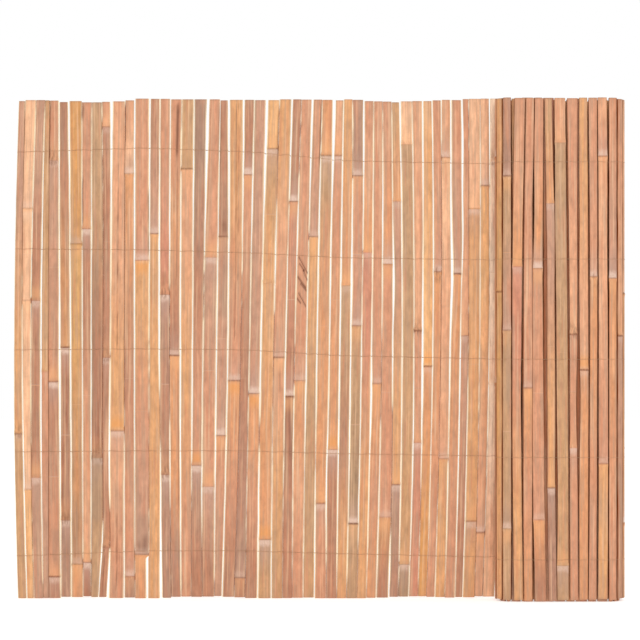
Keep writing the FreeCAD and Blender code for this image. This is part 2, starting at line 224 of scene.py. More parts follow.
def tone_along(z, slat, letters):
    """Colour at each height: the letters between two nodes blend evenly from head to foot."""
    bounds = np.concatenate(([slat["z"][0]], slat["nodes"], [slat["z"][-1]]))
    stretches = letters.split("|")[::-1]
    colours = np.empty((len(z), 3))
    for number, (low, high) in enumerate(zip(bounds[:-1], bounds[1:])):
        stretch = stretches[min(number, len(stretches) - 1)][::-1]
        tones = linear([TONE_COLOURS[letter] for letter in stretch])
        places = np.linspace(low, high, 2 * len(tones) + 1)[1::2]
        inside = (z >= low - ROUNDING) & (z <= high + ROUNDING)
        blend = np.stack([np.interp(z, places, channel) for channel in tones.T], axis=1)
        colours[inside] = blend[inside]
    return colours


print("tones", len(TONE_COLOURS), "slats named", len(FLAT_TONES))

# %% [markdown]
# ## The surface of a slat
# A slat is split from a culm: its skin is part of a wide round, its back is slightly hollow, and its long
# edges are torn rather than cut. One closed outline of points is carried up the slat. At a node the skin
# swells, steeply on the lower side as it grew and gently on the upper side, with the groove where the leaf
# sheath sat, and the edges flare a little.

# %% Outline and surface
SKIN_POINTS, BACK_POINTS = 15, 7
SKIN_REACH, BACK_REACH = 0.95, 0.82  # shares of the half width
SKIN_SPREAD = 0.41 * math.pi  # more brings points closer at the edges
SKIN_POWER = 2.4  # more is flatter in the middle
EDGE_DROP = 1.2 * MM
HOLLOW = 0.4 * MM
SIDE_SHARES = np.array((0.99, 1.0, 1.0, 0.99, 0.93))
SIDE_HEIGHTS = np.array((1.25, 0.5, -1.0, -2.25, -2.72)) * MM
NODE_STATIONS = np.array((-9, -6, -4.2, -3.2, -2.4, -1.6, -0.8, 0, 0.8, 1.6, 2.6, 4, 6, 9)) * MM
NODE_CLEARANCE = 1.5 * MM
END_STATIONS = np.array((0.0, 0.25, 0.8, 4.5)) * MM
DOUBLE = 0.001 * MM  # stations closer than this are one
FAR_AWAY = 500.0  # mm to a node, where a slat has none


def rise(value, low, over):
    """Straight step from 0 to 1 that starts at low and is spread over a length."""
    return np.clip((value - low) / over, 0, 1)


def bell(value, width):
    """Soft bump around zero."""
    return np.exp(-(value / width) ** 2)


def outline():
    """Closed outline as shares of the half width and heights over the mid-plane.

    Seen from above it runs anticlockwise from the skin's left edge.
    """
    skin = np.sin(np.linspace(-SKIN_SPREAD, SKIN_SPREAD, SKIN_POINTS)) / math.sin(SKIN_SPREAD) * SKIN_REACH
    skin_out = THICKNESS / 2 - EDGE_DROP * np.abs(skin) ** SKIN_POWER
    back = np.linspace(BACK_REACH, -BACK_REACH, BACK_POINTS)
    back_out = -THICKNESS / 2 + HOLLOW * (1 - (back / BACK_REACH) ** 2)
    share = np.concatenate((skin, SIDE_SHARES, back, -SIDE_SHARES[::-1]))
    out = np.concatenate((skin_out, SIDE_HEIGHTS, back_out, SIDE_HEIGHTS[::-1]))
    return share, out


def through_levels(slat, edge, z):
    """Edge of a slat as a smooth bow: the parabola through its places at foot, middle and head."""
    low, high = slat["z"][[0, -1]]
    values = np.interp((low, (low + high) / 2, high), slat["z"], slat[edge])
    t = (z - low) / (high - low)
    return values[0] * (1 - t) * (1 - 2 * t) + values[1] * 4 * t * (1 - t) + values[2] * t * (2 * t - 1)


def stations(slat, spacing):
    """Heights along a slat: evenly spaced, closer together at its nodes and near both ends."""
    low, high = slat["z"][[0, -1]]
    even = np.linspace(low, high, int((high - low) / spacing))
    near = (slat["nodes"][:, None] + NODE_STATIONS * slat["growth"]).ravel()
    if len(near):
        even = even[np.abs(even[:, None] - near).min(axis=1) > NODE_CLEARANCE]
    z = np.sort(np.concatenate((even, near, low + END_STATIONS, high - END_STATIONS)))
    return z[np.concatenate(([True], np.diff(z) > DOUBLE))]


def nearest_node(z, slat):
    return np.abs(z[:, None] - slat["nodes"]).argmin(axis=1)


def node_distance(z, slat):
    """Distance to the nearest node along the growth, in mm."""
    if not len(slat["nodes"]):
        return np.full(len(z), FAR_AWAY)
    return (z - slat["nodes"][nearest_node(z, slat)]) * slat["growth"] / MM


def wave(z, seed, lengths):
    """Mean of sines of given lengths along a slat, with seeded phases."""
    phases = np.random.default_rng(seed).uniform(0, 2 * math.pi, len(lengths))
    sines = [np.sin(2 * math.pi * z / length + phase) for length, phase in zip(lengths, phases)]
    return np.mean(sines, axis=0)


print("outline points", len(outline()[0]))

# %% [markdown]
# ## Looks of the nodes
# No two nodes are alike. A table names the look of each node from a slat's head to its foot: a digit for
# its wax, a digit for its scar, and a letter for the band above it, which is dark, orange, rich orange,
# light or not there. Slats without an entry draw theirs.

# %% Node looks
NODE_LOOKS = """
    12d 11l|01n|11o 20o|20o 01n 10d|32o|23n 33n|20d 11o|10o 31o|31o 20d 11n|20d|01d 22r 21n|21n 20r|11o
    21n 30d|30d 22o 02n 31r 20o|20o 02n|31o 22r 30o|11n 31r 22o|00n|31r 12o 31o|33o 10o 11o 22o|22o
    22o|30r 10o 21n|21o|33n 10o 11o 31o|10o 10n|22o 00n|20o 03d|20n 13r 21d 21n|11n 23n 11n 21n|22o
    22n|22o 10d|00n
""".split()
WAX_STRENGTHS = (0.05, 0.45, 0.85, 1.3)
SCAR_STRENGTHS = (0.1, 0.35, 0.7, 1.15)
# Dark, orange and pale share of the band above a node
ABOVE_SHARES = {"n": (0, 0, 0), "d": (0.8, 0, 0), "o": (0, 0.5, 0.2), "r": (0, 1, 0), "l": (0, 0, 0.8)}
ABOVE_DRAWN = list("nndoor")
NODE_DRAW = 300  # added to a slat's seed, as for other draws


def node_bands(z, slat, seed, looks):
    """Wax and scar of the nearest node, and the dark, orange and pale share of the band above it."""
    if not len(slat["nodes"]):
        return np.zeros((len(z), 5))
    draw = np.random.default_rng(seed + NODE_DRAW)
    drawn = ["%d%d%s" % (*draw.integers(0, 4, 2), draw.choice(ABOVE_DRAWN)) for _ in slat["nodes"]]
    codes = looks.split("|")[::-1] if looks else drawn
    rows = np.array([(WAX_STRENGTHS[int(wax)], SCAR_STRENGTHS[int(scar)], *ABOVE_SHARES[above])
                     for wax, scar, above in codes])
    return rows[nearest_node(z, slat)]


print("nodes with a look", sum(len(looks.split("|")) for looks in NODE_LOOKS))

# %% [markdown]
# ## Long edges and gaps
# To the bow of an edge come a small sidestep at each node, kinks from notes, flared nodes and torn waves.
# Neighbours are then settled: gaps close by a share, and slats never cross. Light and shade are painted on
# an edge: pale flesh is painted lighter where light comes through the gap beside it, and painted shade
# makes it grey beside that and dark where slats touch or the gap is unlit.

# %% Long edges
HEIGHTS = np.linspace(0.0, 1.012, 1013)  # one for each millimetre
EDGE_DRAW, ROUGH_DRAW, RIGHT_DRAW, STEP_DRAW = 40, 60, 500, 800
EDGE_LEAST, EDGE_MOST = (0.6, 0.1, 0.0), (1.1, 0.65, 0.55)  # pale flesh with painted light, painted shade, and wear
SHUT = 0.15 * MM  # least gap, through which no light comes
LIT_OVER = 0.35 * MM  # gaps wider by this are fully lit
OUTER_GAP = 2 * MM  # beside the first and the last slat
CLOSING_HEIGHTS = (0.0, 0.45, 1.0)
FLARE, FLARE_REACH = 0.7 * MM, 6.0  # the reach in mm
TORN = 0.22 * MM
LEFT_WAVES, RIGHT_WAVES, ROUGH_WAVES = (0.31, 0.083, 0.037), (0.27, 0.071, 0.041), (0.11, 0.27)
SPLINTER_BELOW, SPLINTER_TAPER = 2 * MM, 5 * MM


def long_edges(z, share, seed, gaps):
    """Looks of the long edges: pale flesh with painted light at a lit gap, painted shade beside it, and
    painted dark shade where slats touch or the gap is unlit, with wear.
    """
    draws = np.random.default_rng(seed + EDGE_DRAW).uniform(EDGE_LEAST, EDGE_MOST, (2, 3))
    side = np.where(share[:, None] < 0, draws[0], draws[1])
    gap = np.where(share < 0, gaps[0][:, None], gaps[1][:, None])
    lit = rise(gap, SHUT, LIT_OVER)
    rough = 0.9 + 0.4 * wave(z, seed + ROUGH_DRAW, ROUGH_WAVES)[:, None]
    far = np.abs(share)
    # pale split flesh, painted lighter as light comes through the gap: painted light
    pale = lit * side[:, 0] * rise(far, 0.83, 0.11) * rough
    is_side = (np.arange(len(share)) >= SKIN_POINTS) & (far > 0.9)
    # painted shade: grey towards the edges, fuller where the gap is lit
    shade = side[:, 1] * rise(far, 0.45, 0.45) * rough * np.where(is_side, lit, 0.4 + 0.6 * lit)
    # edge wear, painted darker where less light comes through the gap
    wear_and_gap_shade = side[:, 2] ** 2 * rise(far, 0.8, 0.15) * (1 - 0.6 * lit)
    # painted shade where slats touch
    touch = (1 - lit) * 0.22 * rise(far, 0.9, 0.08)
    # painted shade: the sides darken where no light comes through the gap
    dark = np.where(is_side, 0.8 * (1 - lit), np.maximum(wear_and_gap_shade, touch))
    return np.stack((pale, shade, dark * rough), axis=2)


def slat_edges(slat, seed, looseness, notes=(), splinter=0):
    """Both long edges at all heights. Looseness is the largest sidestep at a node, in mm."""
    left, right = (through_levels(slat, edge, HEIGHTS) for edge in ("left", "right"))
    if splinter:
        lowest = slat["nodes"].min()
        whole = {**slat, "right": slat["right"] + splinter * (slat["z"] < lowest)}
        lost = splinter * rise(lowest - SPLINTER_BELOW, HEIGHTS, SPLINTER_TAPER)
        right = through_levels(whole, "right", HEIGHTS) - lost
    for height, left_shift, right_shift, reach in notes:
        bump = MM * bell(HEIGHTS - height * MM, reach * MM)
        left, right = left + left_shift * bump, right + right_shift * bump
    steps = np.random.default_rng(seed + STEP_DRAW).uniform(-1, 1, len(slat["nodes"])) * looseness * MM
    places = np.concatenate((slat["z"][:1], slat["nodes"], slat["z"][-1:]))
    aside = np.interp(HEIGHTS, places, np.pad(steps, 1))
    flare = FLARE * bell(node_distance(HEIGHTS, slat), FLARE_REACH)
    left = left + aside - flare + TORN * wave(HEIGHTS, seed, LEFT_WAVES)
    right = right + aside + flare + TORN * wave(HEIGHTS, seed + RIGHT_DRAW, RIGHT_WAVES)
    return left, right


def note_gaps(edges, notes):
    """Edges after notes on single gaps."""
    edges = [list(pair) for pair in edges]
    for number, changes in notes.items():
        for height, wider, reach, *aside in changes:
            bump = MM * bell(HEIGHTS / MM - height, reach)
            edges[number - 1][1] = edges[number - 1][1] + (sum(aside) - wider / 2) * bump
            edges[number][0] = edges[number][0] + (sum(aside) + wider / 2) * bump
    return edges


def without_light(edges):
    """Edges of a slat in the roll, beside gaps without light."""
    return (*edges, 0 * HEIGHTS, 0 * HEIGHTS)


def settle_gaps(edges, closing):
    """Edges and gaps of slats side by side, once gaps close by shares at foot, middle and head."""
    lefts, rights = (np.array(side) for side in zip(*edges))
    gap = np.clip(lefts[1:] - rights[:-1], 0, None)
    ease = np.interp(HEIGHTS, CLOSING_HEIGHTS, closing)
    lefts[1:] -= ease * gap
    rights[:-1] += ease * gap
    short = np.clip(SHUT - (lefts[1:] - rights[:-1]), 0, None) / 2
    lefts[1:] += short
    rights[:-1] -= short
    gap = np.pad(lefts[1:] - rights[:-1], ((1, 1), (0, 0)), constant_values=OUTER_GAP)
    return list(zip(lefts, rights, gap[:-1], gap[1:]))


print("edges at", len(HEIGHTS), "heights")

# %% [markdown]
# ## Marks on the skin
# Stains and grey patches run softly along a slat and wander a little. Scratches are thin and slant.

# %% Marks
WANDER_DRAW, WANDER, WANDER_WAVES = 70, 0.05, (0.05, 0.12)
MARK_FADE = 12  # mm at both ends of a mark
SCRATCH_DEPTH, SCRATCH_WIDTH, SCRATCH_OVERRUN = 0.95, 2.2, 0.06  # the width in mm


def marks(z, share, seed, spans):
    """Soft marks along a slat: each has a foot and a head height, a place across, a width and a depth."""
    total = np.zeros((len(z), len(share)))
    for low, high, middle, width, depth in spans:
        middle = middle + WANDER * wave(z, seed + WANDER_DRAW, WANDER_WAVES)
        fade = rise(z / MM, low, MARK_FADE) * rise(high, z / MM, MARK_FADE)
        total += depth * fade[:, None] * bell(share - middle[:, None], width)
    return total


def scratch_marks(z, share, lines):
    """Thin scratches: each runs from a height at one place across to a height at another."""
    total = np.zeros((len(z), len(share)))
    for start, end, first, last in lines:
        line = np.interp(share, (first, last), (start, end))
        inside = (share >= first - SCRATCH_OVERRUN) & (share <= last + SCRATCH_OVERRUN)
        total += SCRATCH_DEPTH * inside * bell(z[:, None] / MM - line, SCRATCH_WIDTH)
    return total


print("marks fade over", MARK_FADE, "mm")

# %% [markdown]
# ## From slats to meshes
# Each slat's surface becomes rows of four-sided faces with a cut face at the foot and at the head. Its
# points keep what the materials read: the tone, the distance to a node, a place in the grain that follows
# the slat, stains, the looks of the long edges with their painted light and shade, and the strength of
# the nearest node's bands. Skin and split wood are two materials on the same mesh.

# %% Mesh builder
RIDGE, STEEP_SIDE, GENTLE_SIDE = 0.95 * MM, 1.7, 4.6  # a node's height, and the reach of its sides in mm
GROOVE, GROOVE_BELOW, GROOVE_WIDTH = 0.35 * MM, 2.7, 0.9
END_INSET, END_ROUND = 0.45 * MM, 0.8 * MM
TILT, TILT_WAVES, TILT_DRAW = 0.16 * MM, (0.42, 0.19), 900
END_GREY, END_GREY_OVER = 0.35, 4.5 * MM
# Painted shade near the floor: a slat is darker towards its foot, over this length
FOOT_SHADE, FOOT_SHADE_OVER = 0.1, 40 * MM
GRAIN_STEPS = np.array((37.0, 11.0, 113.0))  # per seed, so that slats don't share their grain
KEPT_AT_POINTS = ((("tone",), "FLOAT_COLOR", "color"), (("distance", "stain"), "FLOAT", "value"),
                  (("grain", "edge", "bands", "above"), "FLOAT_VECTOR", "vector"))


def slat_grid(slat, edges, seed, letters, spacing, looks="", stains=(), greys=(), scratches=()):
    """Points of a slat on a grid of stations by outline, and what the materials read there."""
    z = stations(slat, spacing)
    share, out = outline()

    def all_round(values):
        return np.repeat(values[:, None], len(share), axis=1)

    left, right, *gaps = (np.interp(z, HEIGHTS, values) for values in edges)
    distance = node_distance(z, slat)
    swell = np.where(distance < 0, bell(distance, STEEP_SIDE), bell(distance, GENTLE_SIDE))
    groove = bell(distance + GROOVE_BELOW, GROOVE_WIDTH)
    end = np.minimum(z - z[0], z[-1] - z)
    inset = END_INSET * (1 - rise(end, 0, END_ROUND)) ** 2
    half = (right - left) / 2 - inset
    across = (left + right)[:, None] / 2 + half[:, None] * share
    skin_share = rise(out, -0.5 * MM, 2 * MM)
    lift = (RIDGE * swell - GROOVE * groove)[:, None] * skin_share
    tilt = TILT * wave(z, seed + TILT_DRAW, TILT_WAVES)[:, None] * share * skin_share
    squeeze = 1 - (inset / (THICKNESS / 2))[:, None]
    outward = slat["middle"] + out * squeeze + lift + tilt
    place = across[:, :, None] * slat["across"] + outward[:, :, None] * slat["outward"]
    points = np.concatenate((place, all_round(z)[:, :, None]), axis=2)
    on_skin = np.arange(len(share)) < SKIN_POINTS
    stain = (marks(z, share, seed, stains) + scratch_marks(z, share, scratches)) * on_skin
    edge = long_edges(z, share, seed, gaps)
    end_grey = END_GREY * (1 - rise(end, 0, END_GREY_OVER))
    foot_shade = FOOT_SHADE * (1 - rise(z, z[0], FOOT_SHADE_OVER))
    edge[:, :, 1] += marks(z, share, seed, greys) * on_skin
    # grey at the cut ends, and painted shade darker towards the foot
    edge[:, :, 1] += (end_grey + foot_shade)[:, None]
    grain = np.stack((half[:, None] * share / MM, outward / MM, points[:, :, 2] / MM), axis=2)
    bands = all_round(node_bands(z, slat, seed, looks))
    tone = np.pad(tone_along(z, slat, letters), ((0, 0), (0, 1)), constant_values=1)
    return {"points": points, "tone": all_round(tone), "distance": all_round(distance), "stain": stain,
            "grain": grain + seed * GRAIN_STEPS, "edge": edge, "bands": bands[:, :, :3],
            "above": np.pad(bands[:, :, 3:], ((0, 0), (0, 0), (0, 1)))}


def closed_tubes(name, grids):
    """Object of closed tubes, each a grid of rings by points, and its number of faces without ends."""
    points, four, ends, start = [], [], [], 0
    for grid in grids:
        index = start + np.arange(grid.shape[0] * grid.shape[1]).reshape(grid.shape[:2])
        after = np.roll(index, -1, axis=1)
        four.append(np.stack((index[:-1], after[:-1], after[1:], index[1:]), axis=2).reshape(-1, 4))
        ends += [index[0][::-1].tolist(), index[-1].tolist()]
        points.append(grid.reshape(-1, 3))
        start += index.size
    mesh = bpy.data.meshes.new(name)
    mesh.from_pydata(np.concatenate(points), [], np.concatenate(four).tolist() + ends)
    return add_object(name, mesh), len(mesh.polygons) - len(ends)


def slats_object(name, grids):
    """One piece from the grids of its slats, with its face materials and attributes."""
    piece, sides = closed_tubes(name, [grid["points"] for grid in grids])
    mesh = piece.data
    is_split = np.ones(len(outline()[0]), int)
    is_split[:SKIN_POINTS - 1] = 0
    finish = np.ones(len(mesh.polygons), int)
    finish[:sides] = np.resize(is_split, sides)
    mesh.polygons.foreach_set("material_index", finish)
    mesh.polygons.foreach_set("use_smooth", np.arange(len(mesh.polygons)) < sides)
    for keys, kind, field in KEPT_AT_POINTS:
        for key in keys:
            values = np.concatenate([grid[key].ravel() for grid in grids])
            mesh.attributes.new(key, kind, "POINT").data.foreach_set(field, values)
    mesh.update()
    return piece


print("mesh builder ready")

# %% [markdown]
# ## Fibres, node bands and weather
# Three effects are shared between the materials as shader node groups. Fibres are noise stretched far along
# the slat: fine lines, broad streaks and soft blotches. Node bands come from the distance to a node: waxy
# white below it as the culm grew, a thin dark scar, and bands above it that fade out. Weather is a speckle.

# %% Shader helpers
def feed(value, socket):
    """Gives a socket a number, a display colour or what another socket puts out."""
    if isinstance(value, (int, float)):
        socket.default_value = value
    elif isinstance(value, tuple):
        socket.default_value = (*linear(value), 1.0)
    else:
        socket.id_data.links.new(value, socket)


def new_group(name, vectors, values, outputs):
    group = bpy.data.node_groups.new(name, "ShaderNodeTree")
    for labels, way, kind in ((vectors, "INPUT", "Vector"), (values, "INPUT", "Float"),
                              (outputs, "OUTPUT", "Float")):
        for label in labels:
            group.interface.new_socket(label, in_out=way, socket_type="NodeSocket" + kind)
    return group, group.nodes.new("NodeGroupInput").outputs, group.nodes.new("NodeGroupOutput").inputs


def stretched_noise(vector, scale, detail, roughness=0.55):
    """Noise over the grain, with its own scale across, outwards and along."""
    tree = vector.id_data
    mapping = tree.nodes.new("ShaderNodeMapping")
    mapping.inputs["Scale"].default_value = scale
    noise = tree.nodes.new("ShaderNodeTexNoise")
    for label, number in (("Scale", 1.0), ("Detail", detail), ("Roughness", roughness)):
        noise.inputs[label].default_value = number
    feed(vector, mapping.inputs["Vector"])
    feed(mapping.outputs["Vector"], noise.inputs["Vector"])
    return noise.outputs["Fac"]


def ramp(value, low, high, start=0.0, end=1.0):
    """Smooth step from start to end while the value goes from low to high."""
    node = value.id_data.nodes.new("ShaderNodeMapRange")
    node.interpolation_type = "SMOOTHSTEP"
    for label, number in (("From Min", low), ("From Max", high), ("To Min", start), ("To Max", end)):
        node.inputs[label].default_value = number
    feed(value, node.inputs["Value"])
    return node.outputs["Result"]


def calculate(operation, first, second):
    """Math on a socket's value and another value or number."""
    node = first.id_data.nodes.new("ShaderNodeMath")
    node.operation = operation
    for socket, value in zip(node.inputs, (first, second)):
        feed(value, socket)
    return node.outputs["Value"]


def times(first, second):
    return calculate("MULTIPLY", first, second)


def sway(base, value, amount):
    """A base that sways by an amount as a value lies above or below one half."""
    return calculate("ADD", times(calculate("SUBTRACT", value, 0.5), amount), base)


def mix_colour(tree, factor, first, second):
    """Mix of two colours, each a socket's or a display colour, by a factor."""
    node = tree.nodes.new("ShaderNodeMix")
    node.data_type = "RGBA"
    for number, value in ((0, factor), (6, first), (7, second)):  # the sockets that mix colours
        feed(value, node.inputs[number])
    return node.outputs[2]


print("shader helpers ready")

# %% [markdown]
# ## The three groups
# A small scale along the slat makes long streaks. Places of the node bands are millimetres from the node,
# below it if negative, and noise makes their rims ragged.

# %% Shader groups
STREAKS = (  # scale, and the noise values between which a streak sets in
    ("Khaki", (0.21, 0.21, 0.0065), 0.44, 0.66),
    ("Blush", (0.17, 0.3, 0.009), 0.50, 0.72),
    ("Light", (0.26, 0.4, 0.0052), 0.52, 0.72),
    ("Line", (0.62, 0.5, 0.0035), 0.60, 0.70),
)
RAGGED = 9.0  # mm

fibres, fibres_in, fibres_out = new_group(
    "fibres", ("Grain",), (), ("Fine", "Khaki", "Blush", "Light", "Line", "Blotch"))
grain_in = fibres_in["Grain"]
feed(stretched_noise(grain_in, (1.5, 1.5, 0.016), 5.0), fibres_out["Fine"])
for label, scale, low, high in STREAKS:
    streak = stretched_noise(grain_in, scale, 2.5)
    feed(ramp(streak, low, high), fibres_out[label])
blotch = stretched_noise(grain_in, (0.09, 0.09, 0.032), 4.0, 0.62)
feed(blotch, fibres_out["Blotch"])

bands, bands_in, bands_out = new_group(
    "node bands", ("Grain",), ("Distance",), ("Wax", "Veil", "Scar", "Warm", "Smudge", "Glow"))
apart = bands_in["Distance"]
ragged = stretched_noise(bands_in["Grain"], (0.24, 0.24, 0.06), 2.0)
mottle = stretched_noise(bands_in["Grain"], (0.35, 0.35, 0.16), 4.0, 0.65)
near = sway(apart, ragged, RAGGED)
below = ramp(apart, -2.8, -1.0, 1.0, 0.0)
wax = times(ramp(near, -19.0, -8.0), below)
wax = times(wax, ramp(mottle, 0.3, 0.6, 0.45, 1.0))
veil = times(ramp(near, -75.0, -8.0), below)
scar = times(ramp(apart, -4.6, -1.6), ramp(apart, -0.6, 2.8, 1.0, 0.0))
scar = times(scar, ramp(mottle, 0.32, 0.62, 0.4, 1.0))
warm = times(ramp(apart, -1.0, 1.0), ramp(near, 4.0, 55.0, 1.0, 0.0))
smudge = times(ramp(near, 6.0, 34.0, 1.0, 0.0), ramp(near, -14.0, -4.0))
smudge = times(smudge, ramp(ragged, 0.40, 0.66))
glow = times(ramp(apart, 0.5, 10.0), ramp(near, 12.0, 36.0, 1.0, 0.0))
for socket, value in zip(bands_out, (wax, veil, scar, warm, smudge, glow)):
    feed(value, socket)

weather, weather_in, weather_out = new_group("weather", ("Vector",), ("Size",), ("Speck",))
speck = weather.nodes.new("ShaderNodeTexNoise")
speck.inputs["Detail"].default_value = 4.0
feed(weather_in["Vector"], speck.inputs["Vector"])
feed(weather_in["Size"], speck.inputs["Scale"])
feed(ramp(speck.outputs["Fac"], 0.56, 0.72), weather_out["Speck"])
print("shader groups", [group.name for group in bpy.data.node_groups])

# %% [markdown]
# ## Bamboo and wire
# The skin has a satin gloss, and takes its tone from the slat's points. Split wood, on the edges, the back
# and the cut ends, is paler, duller and more fibrous. Both read the same grain, so fibres run on over the
# edge. The wire is galvanised and has gone dull and brownish.

# %% Materials
def attribute(tree, name, output):
    node = tree.nodes.new("ShaderNodeAttribute")
    node.attribute_name = name
    return node.outputs[output]


def use_group(tree, group, **inputs):
    node = tree.nodes.new("ShaderNodeGroup")
    node.node_tree = group
    for label, value in inputs.items():
        feed(value, node.inputs[label])
    return node.outputs


def new_material(name, specular):
    material = bpy.data.materials.new(name)
    material.use_nodes = True
    shader = material.node_tree.nodes["Principled BSDF"]
    shader.inputs["Specular IOR Level"].default_value = specular
    return material, material.node_tree, shader


def light_and_dark(colour, value, amount):
    """A colour made darker or lighter by a value around one half."""
    node = colour.id_data.nodes.new("ShaderNodeVectorMath")
    node.operation = "SCALE"
    feed(colour, node.inputs[0])
    feed(sway(1.0, value, amount), node.inputs["Scale"])
    return node.outputs["Vector"]


def parts_of(tree, name):
    """The three values of a vector that is kept at the points."""
    node = tree.nodes.new("ShaderNodeSeparateXYZ")
    feed(attribute(tree, name, "Vector"), node.inputs["Vector"])
    return tuple(node.outputs)


BAMBOO_SPECULAR, WIRE_SPECULAR, FLOOR_SPECULAR = 0.28, 0.4, 0.1
BAMBOO_SPECK, WIRE_SPECK = 0.16, 260.0  # speckle per mm of grain and per metre


def bamboo(name, paler_share, paler, gloss, fine_amount, bump_distance):
    """Bamboo finish: tone, fibres of several hues, node bands, long edges and stains, laid on in turn."""
    material, tree, shader = new_material(name, BAMBOO_SPECULAR)
    grain = attribute(tree, "grain", "Vector")
    fibre = use_group(tree, fibres, Grain=grain)
    band = use_group(tree, bands, Distance=attribute(tree, "distance", "Fac"), Grain=grain)
    wax, scar, smudge = parts_of(tree, "bands")
    orange, light = parts_of(tree, "above")[:2]
    pale, shade, dark = parts_of(tree, "edge")
    coats = (  # mask, amount and display colour
        (fibre["Khaki"], 0.48, (182, 148, 122)),
        (fibre["Blush"], 0.5, (206, 134, 98)),
        (fibre["Light"], 0.45, (240, 196, 156)),
        (fibre["Line"], 0.18, (158, 104, 72)),
        (band["Warm"], 0.25, (236, 172, 116)),
        (times(band["Glow"], orange), 0.45, (232, 152, 72)),
        (times(band["Glow"], light), 0.5, (246, 204, 172)),
        (times(band["Veil"], wax), 0.35, (192, 156, 140)),
        (times(band["Wax"], wax), 0.65, (226, 194, 174)),
        (times(band["Smudge"], smudge), 0.75, (136, 90, 64)),
        (times(band["Scar"], scar), 0.75, (128, 78, 50)),
        (use_group(tree, weather, Vector=grain, Size=BAMBOO_SPECK)["Speck"], 0.1, (150, 100, 72)),
        # painted shade at the edges, in the same mask as grey patches and grey ends
        (shade, 0.6, (146, 118, 98)),
        # pale flesh lit through a gap: painted light
        (pale, 1.0, (255, 232, 188)),
        # painted shade in unlit gaps and where slats touch, with edge wear
        (dark, 1.0, (132, 60, 12)),
        (attribute(tree, "stain", "Fac"), 1.0, (104, 54, 28)),
    )
    colour = mix_colour(tree, paler_share, attribute(tree, "tone", "Color"), paler)
    colour = light_and_dark(colour, fibre["Blotch"], 1.0)
    for mask, amount, coat in coats:
        colour = mix_colour(tree, times(mask, amount), colour, coat)
    colour = light_and_dark(colour, fibre["Fine"], fine_amount)
    feed(colour, shader.inputs["Base Color"])
    rough = ramp(fibre["Fine"], 0.2, 0.8, gloss - 0.07, gloss + 0.08)
    feed(rough, shader.inputs["Roughness"])
    relief = tree.nodes.new("ShaderNodeBump")
    relief.inputs["Strength"].default_value = 0.35
    relief.inputs["Distance"].default_value = bump_distance
    feed(fibre["Fine"], relief.inputs["Height"])
    feed(relief.outputs["Normal"], shader.inputs["Normal"])
    return material


skin_material = bamboo("bamboo_skin", 0.1, (196, 164, 146), 0.50, 0.22, 0.3 * MM)
split_material = bamboo("bamboo_split", 0.35, (226, 180, 138), 0.72, 0.42, 0.6 * MM)

wire_material, wire_tree, wire_shader = new_material("galvanised_wire", WIRE_SPECULAR)
place = wire_tree.nodes.new("ShaderNodeTexCoord").outputs["Object"]
wire_speck = use_group(wire_tree, weather, Vector=place, Size=WIRE_SPECK)["Speck"]
wire_colour = mix_colour(wire_tree, wire_speck, (192, 148, 112), (150, 106, 76))
feed(wire_colour, wire_shader.inputs["Base Color"])
wire_shader.inputs["Metallic"].default_value = 0.3
feed(ramp(wire_speck, 0.0, 1.0, 0.42, 0.68), wire_shader.inputs["Roughness"])
print("materials", [material.name for material in bpy.data.materials])

# %% [markdown]
# ## The flat slats
# Forty-six slats stand side by side, and each replaces its own CAD node. One has lost a splinter below its
# lowest node. Notes list what single slats show, in millimetres. An edge note has a height, the shifts of
# both edges and a reach. A note on the gap to a slat's right has a height, a widening, a reach and perhaps
# a sidestep. Stains and grey patches have a span, a place across, a width and a depth.

# %% Notes on the flat slats
SPLINTERS = {13: 8.0 * MM}
EDGE_NOTES = {
    9: ((190, 0, 6, 120),),
    10: ((118, 6.5, 8.5, 105),),
    14: ((270, 0, 4, 150),),
    35: ((250, 0, 3.5, 150),),
    46: ((720, -1.8, 0, 220),),
}
GAP_NOTES = {
    5: ((760, -2.8, 140), (190, -1.8, 120)),
    6: ((750, -2.4, 130),),
    10: ((600, -3, 300), (40, 3.8, 50)),
    14: ((390, -2.6, 90), (30, 3.2, 60), (730, 1.2, 60)),
    15: ((750, 2.4, 90), (280, 1.8, 80)),
    17: ((830, 1, 60), (400, 2.4, 140)),
    18: ((950, 3.6, 90), (640, -2.2, 110), (220, 2, 60)),
    22: ((810, 2, 80),),
    23: ((720, -3.4, 120), (330, -3, 60), (50, -1, 40)),
    24: ((690, 2.4, 90),),
    25: ((770, -2.6, 100), (430, 2.2, 50)),
    26: ((750, 2.2, 80), (470, -1, 60)),
    27: ((740, -2, 110), (420, 1.8, 80)),
    28: ((800, 1.4, 90), (300, -2.6, 120)),
    29: ((790, -2.6, 110), (230, 3, 120, -2.5), (950, 0, 150, 2.5)),
    31: ((870, -2.2, 70), (640, 2.4, 70), (200, -1.8, 130)),
    32: ((930, 2.4, 80), (620, -2.2, 120), (190, 1.8, 80, -1)),
    33: ((400, 2.6, 80, 1), (630, -1, 50)),
    34: ((780, 2.4, 80), (420, -1.6, 170)),
    35: ((640, 3.8, 80, 1.5), (480, 1.2, 60), (40, 2, 45)),
    38: ((730, -3.6, 130), (430, 1.6, 45), (200, -1.4, 90)),
    41: ((650, 3.6, 90, 3), (330, -1.2, 60)),
    42: ((920, 3.2, 90, 2), (590, -2.4, 80), (730, 0, 90, 3)),
}
